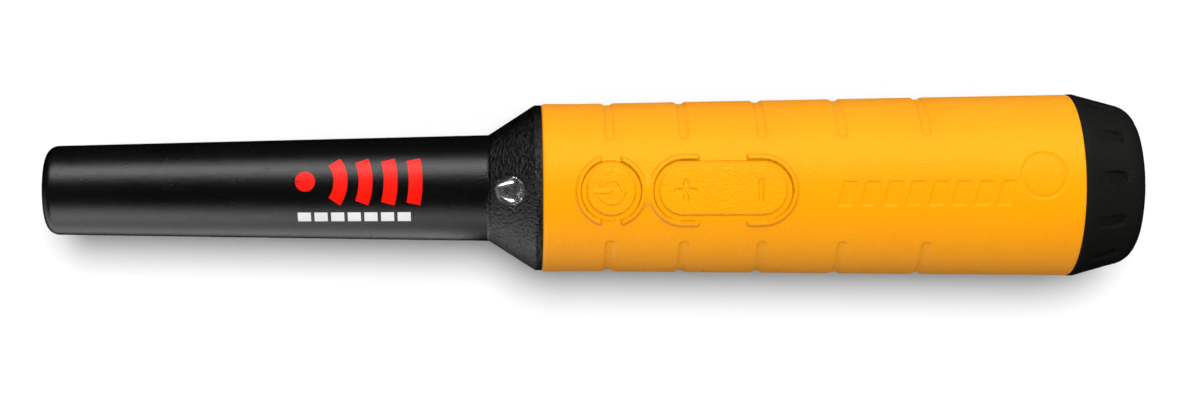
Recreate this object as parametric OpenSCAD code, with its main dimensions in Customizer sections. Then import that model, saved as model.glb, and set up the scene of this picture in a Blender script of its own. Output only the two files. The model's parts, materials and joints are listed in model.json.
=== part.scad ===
// Pinpointer probe: a hand-held metal locator. A sealed black housing carries the sensing coil in
// its nose, the electronics under a rubber grip and a 9 V battery behind a screw-on end cap.
//
// Every node is drawn along the probe's own line first: x runs from the tip to the end cap, z points
// through the keys, and the axis of the probe is y = z = 0. in_row_frame() then lays the probe on the
// ground plane with its middle over the origin.

/* [Overall] */
// Length from the tip face to the end face of the cap
length = 253.5; // [252:0.1:254]
// Radius of the end cap's rim, the widest circle of the probe
cap_rim_r = 21.4; // [21.2:0.1:21.8]

/* [Nose and shoulder] */
// Radius of the nose at its tip, before the edge is rounded
tip_r = 10.25; // [10:0.05:10.6]
// Radius of the nose where the shoulder starts
nose_root_r = 12.36; // [12.1:0.02:12.6]
// Rounding of the tip's edge
tip_round = 2.8; // [2:0.1:3.4]
// Distance from the tip to the start of the shoulder
shoulder_s = 102.1; // [101.5:0.1:102.6]
// Radius of the shoulder's rim, next to the grip
shoulder_r = 19.3; // [19.2:0.05:19.4]
// Wall of the nose tube
nose_wall = 1.7; // [1.5:0.1:1.9]

/* [Grip] */
// Distance from the tip to the front edge of the grip
grip_s = 114.3; // [114.2:0.1:114.4]
// Length of the grip
grip_length = 123.8; // [123.7:0.1:123.9]
// Outer radius of the grip at its front
grip_front_r = 19.42; // [19.4:0.01:19.5]
// Outer radius of the grip at its rear
grip_rear_r = 21.3; // [21.2:0.05:21.35]
// Distances from the tip to the middles of the finger grooves
groove_s = [129.7, 146.6, 164.5, 182.9, 202.3];
// Width of a finger groove at the surface
groove_width = 2.5; // [2:0.1:3]
// Depth of a finger groove
groove_depth = 0.45; // [0.3:0.05:0.6]
// Angle from the keys to the end of each groove, in degrees
groove_from = 35.5; // [32:0.5:40]

/* [Keys] */
// Distance from the tip to the middle of the power key
power_s = 129.8; // [129.6:0.1:129.9]
// Diameter of the power key
power_key_d = 11.2; // [11:0.1:11.4]
// Distance from the tip to the middle of the sensitivity key
rocker_s = 155.2; // [155.1:0.1:155.4]
// Length of the sensitivity key
rocker_length = 29.2; // [28.8:0.1:29.3]
// Width of the sensitivity key
rocker_width = 11.2; // [11:0.1:11.4]
// Distance from the middle of the sensitivity key to each of its two presses
rocker_arm = 8.55; // [8.4:0.05:8.8]
// Width of the flexible web around each key
web_width = 1.15; // [1.05:0.05:1.25]
// Width of the raised guard round each key
guard_width = 0.95; // [0.8:0.05:1.1]
// Height of the guards over the grip, along the middle line
guard_height = 0.9; // [0.7:0.05:1]
// Travel of the power key
key_travel = 0.6; // [0.4:0.05:0.6]

/* [End cap and thread] */
// Number of finger flutes round the end cap
flute_count = 12; // [8:1:14]
// Width of a flute
flute_width = 2.8; // [2.4:0.1:3]
// Pitch of the closing thread
pitch = 3; // [2.8:0.1:3.2]
// Play between the two thread ridges, along the axis on each side
thread_play = 0.35; // [0.3:0.05:0.4]

/* [Coil] */
// Length of the ferrite rod
core_length = 62; // [58:1:64]
// Radius of the ferrite rod
core_r = 4; // [3.5:0.1:4.2]

/* [Battery] */
// Distance between the battery's terminals
terminal_spacing = 12.7; // [12.6:0.1:12.8]

/* [Hidden] */
$fn = 72;
slack = 0.01; // cutters run this far past the face they open

// Width, height and length of the 9 V battery's case.
battery_size = [26.5, 17.5, 46.4];

// Stations along the probe, counted from the tip.
grip_end_s = grip_s + grip_length;
bore_front_s = 114.5;
neck_end_s = 246.6;
board_s = 118;
board_end_s = 182;
bulkhead_s = 183;
bulkhead_end_s = 186;
contact_board_end_s = 187.6;
terminal_front_s = 188.6;
battery_front_s = 191.5;
battery_end_s = battery_front_s + battery_size[2];
cap_cavity_end_s = length - 2.3;

// Radii.
tip_wall = 2.2;
shoulder_slope = 0.645;
shoulder_round = 1;
barrel_front_r = 17.3;
barrel_rear_r = 18.3;
bore_r = 15.5;
neck_r = 16.6;
ridge_height = 0.7;
cap_bore_r = 17.6;
cap_slope = 0.27;
cap_round = 5.5;
cap_chamfer = 0.35;
cap_rim_width = 1.2;
flute_phase = 0.76;
flute_start_s = 244;
flute_slope = 27;
seal_section_r = 0.8;
seal_groove_r = 17;
seal_mid_s = grip_end_s + 1.15;
cap_seal_bore_r = seal_groove_r + 2 * seal_section_r + 0.05;
cap_step_s = 241.4;
thread_s = cap_step_s + 1;

// The electronics' levels over the axis.
board_top_z = 9.5;
board_thickness = 1.6;
board_bottom_z = board_top_z - board_thickness;
board_half_w = 11.5;
plate_top_z = -0.6;
plate_bottom_z = -2.2;
dome_height = 0.9;
dome_r = 4;
dome_skin = 0.25;
standoff_s = [board_s + 3.5, board_end_s - 4];
standoff_y = [-8.6, 8.6];
wire_slot_s = 174;
wire_slot_end_s = 178;

// Screws from the bulkhead into two lugs in the barrel.
chassis_screw_y = 10.2;
chassis_screw_z = -8.6;
chassis_screw_r = 0.9;
chassis_head_r = 1.8;
lug_s = 176;
screw_tip_s = 178;

// Holes through the bulkhead for the battery's wires.
battery_wire_y = 4;
battery_wire_z = 10.6;

// Keys.
web_skin = 0.6;
web_drop = 0.95;
key_proud = 0.3;
mark_r = 3.2;
mark_width = 1;
mark_height = 0.25;
key_crown_r = 30;
guard_crown_r = 30;
stem_r = 2;
fulcrum_r = 0.7;
rocker_clear = 1.05;
pivot_z = barrel_out_r(rocker_s) + fulcrum_r + 0.05;

// Motor and loudspeaker.
motor_s = 124;
motor_z = -6.9;
motor_length = 14;
motor_r = 3.5;
shaft_r = 0.5;
boot_r = 4.6;
speaker_s = 160;
speaker_r = 9.4;
speaker_z = -7.6;
speaker_depth = 3.8;

// Window and lamp on the shoulder, pointing forward and outward.
lens_s = 106.7;
lens_r = 3.2;
lens_tilt = 17;
lens_z = shoulder_line_r(lens_s);
lens_length = 3.4;
led_depth = 10.6;
led_r = 2.5;
led_body_length = 4.5;
reflector_r = 2.9;

// Coil stack.
core_s = 5;
bobbin_r = core_r + 0.9;
winding_r = 7.2;
flange_r = 8.2;
flange_w = 1.4;
receive_w = 14;
transmit_w = 22;

// ---- Shapes shared by the nodes ----

function shoulder_line_r(s) = nose_root_r + shoulder_slope * (s - shoulder_s);
function grip_out_r(s) = grip_front_r + (grip_rear_r - grip_front_r) * (s - grip_s) / grip_length;
function barrel_out_r(s) = barrel_front_r + (barrel_rear_r - barrel_front_r) * (s - grip_s) / grip_length;
function cap_line_r(s) = cap_rim_r - cap_slope * (s - grip_end_s - cap_rim_width);

// Points along an arc in a profile of [radius, station] pairs.
function arc_points(centre, r, from, to, steps = 6) = [
    for (i = [0:steps])
        let (a = from + (to - from) * i / steps)
            centre + r * [cos(a), sin(a)]
];

module in_row_frame() {
    translate([-length / 2, 0, cap_rim_r]) children();
}

// Turns a profile of [radius, station] points about the probe's axis.
module revolve() {
    rotate([0, 90, 0]) rotate_extrude($fn = 120) children();
}

module rod_x(s0, s1, r, y = 0, z = 0) {
    translate([s0, y, z]) rotate([0, 90, 0]) cylinder(h = s1 - s0, r = r);
}

module ring_x(s0, s1, r_in, r_out, y = 0, z = 0) {
    difference() {
        rod_x(s0, s1, r_out, y, z);
        rod_x(s0 - 1, s1 + 1, r_in, y, z);
    }
}

module post(s, y, z0, z1, r) {
    translate([s, y, z0]) cylinder(h = z1 - z0, r = r);
}

module block(s0, s1, y0, y1, z0, z1) {
    translate([s0, y0, z0]) cube([s1 - s0, y1 - y0, z1 - z0]);
}

// A rod along the line of one of the two screws that hold the chassis.
module chassis_screw_rod(side, s0, s1, r) {
    rod_x(s0, s1, r, side * chassis_screw_y, chassis_screw_z);
}

// A slot's outline: two half circles joined by a straight stretch, or one circle if it is short.
module slot_outline(long, wide) {
    if (long > wide) square([long - wide, wide], center = true);
    for (side = long > wide ? [-1, 1] : [0])
        translate([side * (long - wide) / 2, 0]) circle(d = wide);
}

// Keeps what lies under a long shallow crown whose top is at z, as the tops of keys and guards are.
module under_crown(s, top_z, crown_r, reach) {
    intersection() {
        children();
        rod_x(s - reach, s + reach, crown_r, 0, top_z - crown_r);
    }
}

// A right-handed thread ridge about +x, with faded ends. in_out is 1 on a shaft and -1 in a bore.
module thread_ridge(s, root_r, in_out, turns) {
    steps = round(turns * 36);
    half_root = (pitch / 2 - thread_play) / 2 + 0.25;
    half_crest = half_root - 0.35;
    root = root_r - in_out * 0.2;
    points = [
        for (i = [0:steps])
            let (
                a = 360 * turns * i / steps,
                fade = min(1, min(i, steps - i) / 4),
                crest = root_r + in_out * ridge_height * fade - in_out * 0.1 * (1 - fade),
                x = s + pitch * turns * i / steps
            )
                for (p = [[root, -half_root], [crest, -half_crest],
                          [crest, half_crest], [root, half_root]])
                    [x + p[1], -p[0] * sin(a), p[0] * cos(a)]
    ];
    sides = [
        for (i = [0:steps - 1], j = [0:3])
            let (a = 4 * i + j, b = 4 * i + (j + 1) % 4)
                each [[a, b, b + 4], [a, b + 4, a + 4]]
    ];
    ends = [[0, 3, 2], [0, 2, 1], 4 * steps * [1, 1, 1] + [0, 1, 2], 4 * steps * [1, 1, 1] + [0, 2, 3]];
    all_faces = concat(sides, ends);
    polyhedron(points, in_out > 0 ? all_faces : [for (f = all_faces) [f[2], f[1], f[0]]]);
}

// A wire of round section that follows a smooth curve through its points.
function curve_point(a, b, c, d, t) =
    0.5 * (2 * b + (c - a) * t + (2 * a - 5 * b + 4 * c - d) * t * t
        + (3 * b - a - 3 * c + d) * t * t * t);

function smooth_route(route, steps) = [
    for (i = [0:len(route) - 2], j = [0:steps - 1])
        let (before = route[max(i - 1, 0)], after = route[min(i + 2, len(route) - 1)])
            curve_point(before, route[i], route[i + 1], after, j / steps),
    route[len(route) - 1]
];

function unit(v) = v / norm(v);

module wire(route, r, steps = 4, sides = 8) {
    line = smooth_route(route, steps);
    last = len(line) - 1;
    points = [
        for (i = [0:last])
            let (
                along = unit(line[min(i + 1, last)] - line[max(i - 1, 0)]),
                across = unit(cross(along, [0.13, 1, 0.21])),
                up = cross(across, along)
            )
                for (k = [0:sides - 1])
                    line[i] + r * (cos(360 * k / sides) * across + sin(360 * k / sides) * up)
    ];
    skin = [
        for (i = [0:last - 1], k = [0:sides - 1])
            let (a = sides * i + k, b = sides * i + (k + 1) % sides)
                each [[a, b, b + sides], [a, b + sides, a + sides]]
    ];
    ends = [[for (k = [sides - 1:-1:0]) k], [for (k = [0:sides - 1]) sides * last + k]];
    polyhedron(points, concat(skin, ends));
}

// ---- Housing and grip ----

module housing_profile() {
    rim_s = shoulder_s + (shoulder_r - nose_root_r) / shoulder_slope;
    nose_in_root_r = nose_root_r - nose_wall;
    nose_in_tip_r = tip_r - nose_wall;
    polygon(concat(
        [[0, 0]],
        arc_points([tip_r - tip_round, tip_round], tip_round, -90, 0),
        [
            [nose_root_r, shoulder_s],
            [shoulder_r - 0.45 * shoulder_round, rim_s - 0.45 * shoulder_round / shoulder_slope],
            [shoulder_r - 0.12 * shoulder_round, rim_s + 0.05],
            [shoulder_r, rim_s + 0.6 * shoulder_round],
            [shoulder_r, grip_s],
            [barrel_front_r, grip_s],
            [barrel_rear_r, grip_end_s],
            [seal_groove_r, grip_end_s],
            [seal_groove_r, seal_mid_s + 0.95],
            [seal_groove_r + 0.35, seal_mid_s + 0.95],
            [seal_groove_r + 0.35, cap_step_s - 0.1],
            [neck_r, cap_step_s + 0.2],
            [neck_r, neck_end_s - 0.4],
            [neck_r - 0.4, neck_end_s],
            [bore_r, neck_end_s],
            [bore_r, bore_front_s],
            [nose_in_root_r, shoulder_s + 0.8],
            [nose_in_tip_r, tip_wall + 1],
            [nose_in_tip_r - 1, tip_wall],
            [0, tip_wall]
        ]
    ));
}

module probe_housing() {
    color("#1c1d1d") in_row_frame() difference() {
        union() {
            revolve() housing_profile();
            thread_ridge(thread_s, neck_r, 1, 1.1);
            for (side = [-1, 1]) intersection() {
                block(lug_s, bulkhead_s, min(side * 8, side * 15), max(side * 8, side * 15), -11.8, -6.2);
                rod_x(lug_s - 1, bulkhead_s + 1, bore_r + 0.5);
            }
        }
        on_lens_axis() translate([0, 0, -led_depth + 0.8]) cylinder(h = led_depth + 8, r = lens_r + 0.05);
        post(power_s, 0, 12, 20, stem_r + 0.35);
        for (side = [-1, 1]) {
            post(rocker_s + side * rocker_arm, 0, 12, 20, stem_r + 0.75);
            chassis_screw_rod(side, screw_tip_s - 1, bulkhead_s + 1, chassis_screw_r + 0.06);
        }
    }
}

// A key's guard: a raised band that follows the key, left open at both sides of the grip.
module guard(s, long, wide, gap) {
    over = 2 * web_width + 2 * guard_width;
    top_z = grip_out_r(s) + guard_height;
    under_crown(s, top_z, guard_crown_r, long) translate([s, 0, 14]) linear_extrude(10) difference() {
        slot_outline(long + over, wide + over);
        square([gap, 4 * wide], center = true);
    }
}

module grip_shell() {
    revolve() polygon([
        [barrel_front_r, grip_s],
        [grip_front_r - 0.55, grip_s],
        [grip_front_r - 0.15, grip_s + 0.3],
        [grip_front_r, grip_s + 0.9],
        [grip_rear_r, grip_end_s - 0.3],
        [grip_rear_r - 0.3, grip_end_s],
        [barrel_rear_r, grip_end_s]
    ]);
}

module finger_groove(s) {
    r = grip_out_r(s);
    half = groove_width / 2;
    translate([s, 0, 0]) rotate([0, 90, 0])
        rotate([0, 0, 180 + groove_from])
            rotate_extrude(angle = 360 - 2 * groove_from, $fn = 120) polygon([
                [r - groove_depth, -half / 2],
                [r + 0.3, -half * 1.35],
                [r + 0.3, half * 1.35],
                [r - groove_depth, half / 2]
            ]);
}

module grip_sleeve() {
    bridge_s = (power_s + power_key_d / 2 + rocker_s - rocker_length / 2) / 2;
    color("#ffab00") in_row_frame() difference() {
        union() {
            difference() {
                grip_shell();
                for (s = groove_s) finger_groove(s);
            }
            difference() {
                union() {
                    guard(power_s, power_key_d, power_key_d, 4.6);
                    guard(rocker_s, rocker_length, rocker_width, 10.7);
                    under_crown(bridge_s, grip_out_r(bridge_s) + guard_height - 0.1, guard_crown_r, 3)
                        block(bridge_s - 2.6, bridge_s + 2.6, -1.6, 1.6, 14, 24);
                }
                rod_x(grip_s - 1, grip_end_s, barrel_front_r + 0.9);
            }
        }
        translate([power_s, 0, 10]) linear_extrude(20)
            slot_outline(power_key_d + 2 * web_width, power_key_d + 2 * web_width);
        translate([rocker_s, 0, 10]) linear_extrude(20)
            slot_outline(rocker_length + 2 * web_width, rocker_width + 2 * web_width);
    }
}

// ---- Keys ----

// The flexible web that joins a key to the grip, curved with the grip's surface.
module key_web(s, long, wide) {
    r = grip_out_r(s) - web_drop;
    intersection() {
        translate([s, 0, 10]) linear_extrude(14) difference() {
            slot_outline(long + 2 * web_width, wide + 2 * web_width);
            slot_outline(long, wide);
        }
        ring_x(s - long, s + long, r - web_skin, r);
    }
}

// The visible part of a key: a pad with a shallow crown, held clear of the barrel by its own travel.
module key_pad(s, long, wide, clear) {
    difference() {
        under_crown(s, grip_out_r(s) + key_proud, key_crown_r, long)
            translate([s, 0, 13]) linear_extrude(10) slot_outline(long, wide);
        rod_x(s - long, s + long, barrel_out_r(s) + clear);
    }
}

// The raised power symbol: a ring open towards the nose and a bar through the opening.
module power_mark() {
    intersection() {
        translate([power_s, 0, grip_out_r(power_s) - 0.4]) linear_extrude(3) {
            difference() {
                circle(r = mark_r);
                circle(r = mark_r - mark_width);
                translate([-2 * mark_r, -1.3]) square([2 * mark_r, 2.6]);
            }
            translate([-4.5, -mark_width / 2]) square([4.5, mark_width]);
        }
        rod_x(power_s - 8, power_s + 8, key_crown_r, 0,
            grip_out_r(power_s) + key_proud + mark_height - key_crown_r);
    }
}

// The sunk plus and minus, as cutters.
module rocker_marks() {
    difference() {
        translate([rocker_s, 0, 15]) linear_extrude(10) {
            translate([-rocker_arm, 0]) {
                square([5.2, mark_width], center = true);
                square([mark_width, 5.2], center = true);
            }
            translate([rocker_arm, 0]) square([mark_width, 5.3], center = true);
        }
        rod_x(rocker_s - 20, rocker_s + 20, key_crown_r, 0,
            grip_out_r(rocker_s) + key_proud - mark_height - key_crown_r);
    }
}

module key_stem(s) {
    post(s, 0, board_top_z + dome_height, barrel_out_r(s) + 1.5, stem_r);
}

module power_key() {
    color("#ffad0a") in_row_frame() {
        key_pad(power_s, power_key_d, power_key_d, key_travel + 0.2);
        power_mark();
        key_stem(power_s);
    }
}

module power_key_web() {
    color("#f79a00") in_row_frame() key_web(power_s, power_key_d, power_key_d);
}

// The sensitivity key rocks on a round ridge across its underside.
module sensitivity_key() {
    color("#ffad0a") in_row_frame() {
        difference() {
            key_pad(rocker_s, rocker_length, rocker_width, rocker_clear);
            rocker_marks();
        }
        translate([rocker_s, -3, pivot_z]) rotate([-90, 0, 0]) cylinder(h = 6, r = fulcrum_r, $fn = 32);
        block(rocker_s - 0.6, rocker_s + 0.6, -3, 3, pivot_z, pivot_z + 0.9);
        for (side = [-1, 1]) key_stem(rocker_s + side * rocker_arm);
    }
}

module sensitivity_key_web() {
    color("#f79a00") in_row_frame() key_web(rocker_s, rocker_length, rocker_width);
}

// ---- Lamp in the shoulder ----

// Puts z along the lamp's axis, out of the shoulder, with the origin on the shoulder's surface.
module on_lens_axis() {
    translate([lens_s, 0, lens_z]) rotate([0, lens_tilt - 90, 0]) children();
}

module led_lens() {
    color("#dfe8ea", 0.5) in_row_frame() on_lens_axis() difference() {
        intersection() {
            translate([0, 0, -lens_length]) cylinder(h = lens_length + 4, r = lens_r, $fn = 64);
            translate([1.1, 0, -3.2]) sphere(r = 5.4, $fn = 96);
        }
        translate([0, 0, -lens_length - slack]) cylinder(h = 0.5, r = reflector_r);
    }
}

module lens_seal() {
    color("#303030") in_row_frame() on_lens_axis() difference() {
        translate([0, 0, -lens_length - 0.9]) cylinder(h = 0.9, r = lens_r);
        translate([0, 0, -lens_length - 1]) cylinder(h = 2, r = reflector_r);
    }
}

module led() {
    color("#eef3f4", 0.6) in_row_frame() on_lens_axis() translate([0, 0, -led_depth]) {
        cylinder(h = 1, r = 2.9);
        cylinder(h = led_body_length, r = led_r);
        translate([0, 0, led_body_length]) sphere(r = led_r);
    }
}

// Holds the LED and flares in front of it into a bright reflector.
module led_holder() {
    holder_length = led_depth - 1.9 - lens_length;
    color("#c8cacc") in_row_frame() on_lens_axis() translate([0, 0, 1 - led_depth]) difference() {
        cylinder(h = holder_length, r = lens_r);
        translate([0, 0, -1]) cylinder(h = 4.1, r = led_r);
        translate([0, 0, 3]) cylinder(h = holder_length - 3 + slack, r1 = led_r, r2 = reflector_r);
    }
}

module led_leads() {
    color("#c9ccd0") in_row_frame() for (side = [-1, 1])
        wire([
            [116.7, side * 1.27, 12.1],
            [118.6, side * 1.27, 11.4],
            [119.4, side * 1.27, 10.6],
            [119.5, side * 1.27, board_top_z]
        ], 0.3);
}

// ---- Sensing coil ----

module ferrite_core() {
    color("#3a3836") in_row_frame() rod_x(core_s, core_s + core_length, core_r);
}

function flange_stations() = [
    for (i = [0:3])
        core_s + 1.5 + i * (receive_w + flange_w) + (i > 1 ? transmit_w - receive_w : 0)
];

module coil_bobbin() {
    stations = flange_stations();
    color("#e6dfcf") in_row_frame() {
        ring_x(stations[0], stations[3] + flange_w, core_r, bobbin_r);
        for (s = stations) ring_x(s, s + flange_w, bobbin_r - 0.2, flange_r);
    }
}

module transmit_winding() {
    color("#b0582a") in_row_frame()
        ring_x(flange_stations()[1] + flange_w, flange_stations()[2], bobbin_r, winding_r);
}

module receive_windings() {
    color("#c87a3c") in_row_frame() for (i = [0, 2])
        ring_x(flange_stations()[i] + flange_w, flange_stations()[i + 1], bobbin_r, winding_r - 0.6);
}

module tip_pad() {
    color("#8a8f8c") in_row_frame() rod_x(tip_wall, core_s, 7);
}

module coil_spacer() {
    end_s = flange_stations()[3] + flange_w;
    color("#8a8f8c") in_row_frame() difference() {
        rod_x(end_s, end_s + 8, 9.3);
        rod_x(end_s - 1, core_s + core_length + 0.4, core_r + 0.4);
        for (y = [-6, 6]) rod_x(end_s - 1, end_s + 9, 1.3, y, 0);
    }
}

module coil_leads() {
    color("#7a2f20") in_row_frame() for (y = [-6.5, -5.5, 5.5, 6.5])
        wire([
            [flange_stations()[3] + flange_w, y, 0],
            [70, y, 0],
            [86, y * 0.9, -1],
            [100, y * 0.9, 1],
            [110, y * 0.82, 4],
            [board_s + 1.5, y * 0.82, board_bottom_z - 2.2]
        ], 0.4);
}

// ---- Chassis and electronics ----

module chassis() {
    color("#26282a") in_row_frame() difference() {
        union() {
            intersection() {
                block(board_s, bulkhead_s + 1, -12.5, 12.5, plate_bottom_z, plate_top_z);
                rod_x(board_s, bulkhead_s + 1, bore_r - 0.25);
            }
            for (s = standoff_s, y = standoff_y)
                post(s, y, plate_top_z - 0.5, board_bottom_z, 2.1);
            rod_x(bulkhead_s, bulkhead_end_s, bore_r - 0.25);
            for (side = [-1, 1]) battery_rail(side);
            block(motor_s + 2, motor_s + motor_length - 3, -6, 6, motor_z, plate_bottom_z + 0.4);
            post(speaker_s, 0, speaker_z, plate_bottom_z + 0.4, speaker_r + 1.3);
        }
        rod_x(motor_s, motor_s + motor_length, boot_r, 0, motor_z);
        post(speaker_s, 0, speaker_z - 1, plate_bottom_z, speaker_r - 0.9);
        for (s = standoff_s, y = standoff_y)
            post(s, y, 1, board_bottom_z + 1, 0.8);
        for (side = [-1, 1])
            chassis_screw_rod(side, bulkhead_s - 1, bulkhead_end_s + 1, chassis_screw_r + 0.3);
        for (y = [-battery_wire_y, battery_wire_y])
            rod_x(bulkhead_s - 1, bulkhead_end_s + 1, 1.1, y, battery_wire_z);
        block(wire_slot_s, wire_slot_end_s, -4, 4, plate_bottom_z - 1, plate_top_z + 1);
    }
}

// A guide rail for the battery, above it or below it.
module battery_rail(side) {
    clear = battery_size[1] / 2 + 0.25;
    intersection() {
        rod_x(bulkhead_s, battery_end_s - 2, bore_r - 0.25);
        block(bulkhead_s, battery_end_s - 2, -3, 3,
            side > 0 ? clear : -bore_r, side > 0 ? bore_r : -clear);
    }
}

module main_board() {
    color("#1f5b3a") in_row_frame() difference() {
        block(board_s, board_end_s, -board_half_w, board_half_w, board_bottom_z, board_top_z);
        for (s = standoff_s, y = standoff_y) post(s, y, 5, 12, 1.1);
    }
}

module board_screws() {
    color("#b9bcc0") in_row_frame() for (s = standoff_s, y = standoff_y)
        difference() {
            union() {
                post(s, y, 2, board_top_z + 0.2, 0.8);
                post(s, y, board_top_z, board_top_z + 1.2, 1.8);
            }
            block(s - 1.4, s + 1.4, y - 0.25, y + 0.25, board_top_z + 0.6, board_top_z + 2);
        }
}

module chassis_screws() {
    color("#b9bcc0") in_row_frame() for (side = [-1, 1]) difference() {
        union() {
            chassis_screw_rod(side, screw_tip_s, bulkhead_end_s + 0.2, chassis_screw_r);
            chassis_screw_rod(side, bulkhead_end_s, bulkhead_end_s + 1.3, chassis_head_r);
        }
        translate([bulkhead_end_s + 1.35, side * chassis_screw_y, chassis_screw_z])
            cube([1.3, 2.8, 0.5], center = true);
    }
}

// A metal snap dome that sits on the board under a key's stem.
module snap_dome(s) {
    ball_r = (dome_r * dome_r + dome_height * dome_height) / (2 * dome_height);
    translate([s, 0, board_top_z]) intersection() {
        cylinder(h = dome_height, r = dome_r);
        translate([0, 0, dome_height - ball_r]) difference() {
            sphere(r = ball_r, $fn = 96);
            sphere(r = ball_r - dome_skin, $fn = 96);
        }
    }
}

module power_dome() {
    color("#d9d9d4") in_row_frame() snap_dome(power_s);
}

module sensitivity_domes() {
    color("#d9d9d4") in_row_frame() for (side = [-1, 1]) snap_dome(rocker_s + side * rocker_arm);
}

module microcontroller() {
    color("#181818") in_row_frame() block(146, 156, -5, 5, board_bottom_z - 1.6, board_bottom_z);
}

module capacitors() {
    color("#3d4a63") in_row_frame() for (s = [131, 139.5])
        post(s, -6.2, board_bottom_z - 6, board_bottom_z, 3);
}

module inductor() {
    color("#2b2b2b") in_row_frame() {
        post(167, 4, board_bottom_z - 0.9, board_bottom_z, 3.6);
        post(167, 4, board_bottom_z - 4, board_bottom_z - 0.8, 2.2);
        post(167, 4, board_bottom_z - 4.8, board_bottom_z - 3.9, 3.6);
    }
}

module board_connectors() {
    color("#efe9da") in_row_frame() {
        for (y = [-6.2, 3.3])
            block(board_s + 0.6, board_s + 5, y, y + 2.9, board_bottom_z - 3.4, board_bottom_z);
        block(173, 176, -5, 5, board_top_z, board_top_z + 3.2);
    }
}

// ---- Loudspeaker ----

module speaker_basket() {
    color("#4a4c50") in_row_frame() difference() {
        post(speaker_s, 0, speaker_z - speaker_depth, speaker_z, speaker_r);
        post(speaker_s, 0, speaker_z - speaker_depth - 1, speaker_z - 0.6, speaker_r - 0.8);
    }
}

module speaker_cone() {
    cone_z = speaker_z - speaker_depth + 0.4;
    color("#1d1d20") in_row_frame() post(speaker_s, 0, cone_z, cone_z + 0.5, speaker_r - 0.8);
}

module speaker_magnet() {
    color("#9a9ca0") in_row_frame() post(speaker_s, 0, speaker_z - 2.4, speaker_z - 0.6, 4.5);
}

module speaker_leads() {
    color("#aa2222") in_row_frame() for (y = [-1, 1])
        wire([
            [speaker_s + speaker_r - 0.3, y, speaker_z - 2],
            [speaker_s + speaker_r + 3.4, y, speaker_z - 1],
            [speaker_s + speaker_r + 6.4, y * 2, -2],
            [speaker_s + speaker_r + 5.8, y * 3, 4],
            [speaker_s + speaker_r + 4.5, y * 3, board_bottom_z]
        ], 0.4);
}

// ---- Vibration motor ----

module motor_can() {
    color("#c4c6c9") in_row_frame() difference() {
        union() {
            rod_x(motor_s, motor_s + motor_length, motor_r, 0, motor_z);
            rod_x(motor_s + motor_length - 1, motor_s + motor_length + 0.6, 1.2, 0, motor_z);
        }
        rod_x(motor_s + motor_length - 6, motor_s + motor_length + 1, shaft_r + 0.05, 0, motor_z);
    }
}

module motor_boot() {
    color("#202020") in_row_frame()
        ring_x(motor_s + 1, motor_s + motor_length - 1.5, motor_r, boot_r, 0, motor_z);
}

module motor_shaft() {
    color("#d5d7da") in_row_frame()
        rod_x(motor_s + motor_length - 5.8, motor_s + motor_length + 7, shaft_r, 0, motor_z);
}

module eccentric_weight() {
    s = motor_s + motor_length + 1.6;
    color("#a58a4a") in_row_frame() difference() {
        rod_x(s, s + 4.6, 3, 0, motor_z);
        block(s - 1, s + 6, -4, 4, motor_z + 0.9, motor_z + 4);
        rod_x(s - 1, s + 6, shaft_r, 0, motor_z);
    }
}

module motor_leads() {
    color("#2244aa") in_row_frame() for (y = [-1.2, 1.2])
        wire([
            [motor_s, y, motor_z],
            [motor_s - 3.5, y, motor_z + 0.5],
            [board_s - 2, y * 1.6, -2],
            [board_s - 1.9, y * 2, 4],
            [board_s + 1.6, y * 2, board_bottom_z]
        ], 0.4);
}

// ---- Battery and its contacts ----

module contact_board() {
    color("#1f5b3a") in_row_frame()
        block(bulkhead_end_s, contact_board_end_s, -12, 12, -6.6, 8);
}

module positive_contact() {
    color("#d8d2b8") in_row_frame()
        ring_x(contact_board_end_s, battery_front_s - 0.5, 2.95, 4.2, -terminal_spacing / 2, 0);
}

module negative_contact() {
    color("#d8d2b8") in_row_frame() {
        rod_x(contact_board_end_s, contact_board_end_s + 0.6, 4.2, terminal_spacing / 2, 0);
        rod_x(contact_board_end_s, battery_front_s - 0.6, 2.7, terminal_spacing / 2, 0);
    }
}

module battery_wire(side) {
    wire([
        [bulkhead_end_s + 0.8, side * battery_wire_y, 8.2],
        [bulkhead_end_s + 1.3, side * battery_wire_y, 9.6],
        [bulkhead_end_s - 0.2, side * battery_wire_y, battery_wire_z],
        [bulkhead_s, side * battery_wire_y, battery_wire_z],
        [179, side * 3.5, 10.8],
        [176, side * 3, board_top_z + 1.8]
    ], 0.6);
}

module battery_wire_red() {
    color("#c3221c") in_row_frame() battery_wire(-1);
}

module battery_wire_black() {
    color("#161616") in_row_frame() battery_wire(1);
}

module battery_case() {
    corner_reach_r = 15.1;
    color("#31404f") in_row_frame() difference() {
        intersection() {
            block(battery_front_s, battery_end_s, -battery_size[0] / 2, battery_size[0] / 2,
                -battery_size[1] / 2, battery_size[1] / 2);
            rod_x(battery_front_s - 1, battery_end_s + 1, corner_reach_r);
        }
        for (y = [-terminal_spacing / 2, terminal_spacing / 2])
            rod_x(battery_front_s - 1, battery_front_s + 0.4, 4.6, y, 0);
    }
}

module battery_positive_terminal() {
    color("#cfd2d4") in_row_frame()
        rod_x(terminal_front_s, battery_front_s + 0.4, 2.9, -terminal_spacing / 2, 0);
}

module battery_negative_terminal() {
    color("#cfd2d4") in_row_frame() difference() {
        rod_x(terminal_front_s, battery_front_s + 0.4, 4.2, terminal_spacing / 2, 0);
        rod_x(terminal_front_s - 1, battery_front_s - 0.4, 2.9, terminal_spacing / 2, 0);
    }
}

// ---- End cap ----

module neck_o_ring() {
    color("#2b2b2b") in_row_frame() revolve()
        translate([seal_groove_r + seal_section_r, seal_mid_s]) circle(r = seal_section_r, $fn = 32);
}

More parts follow.
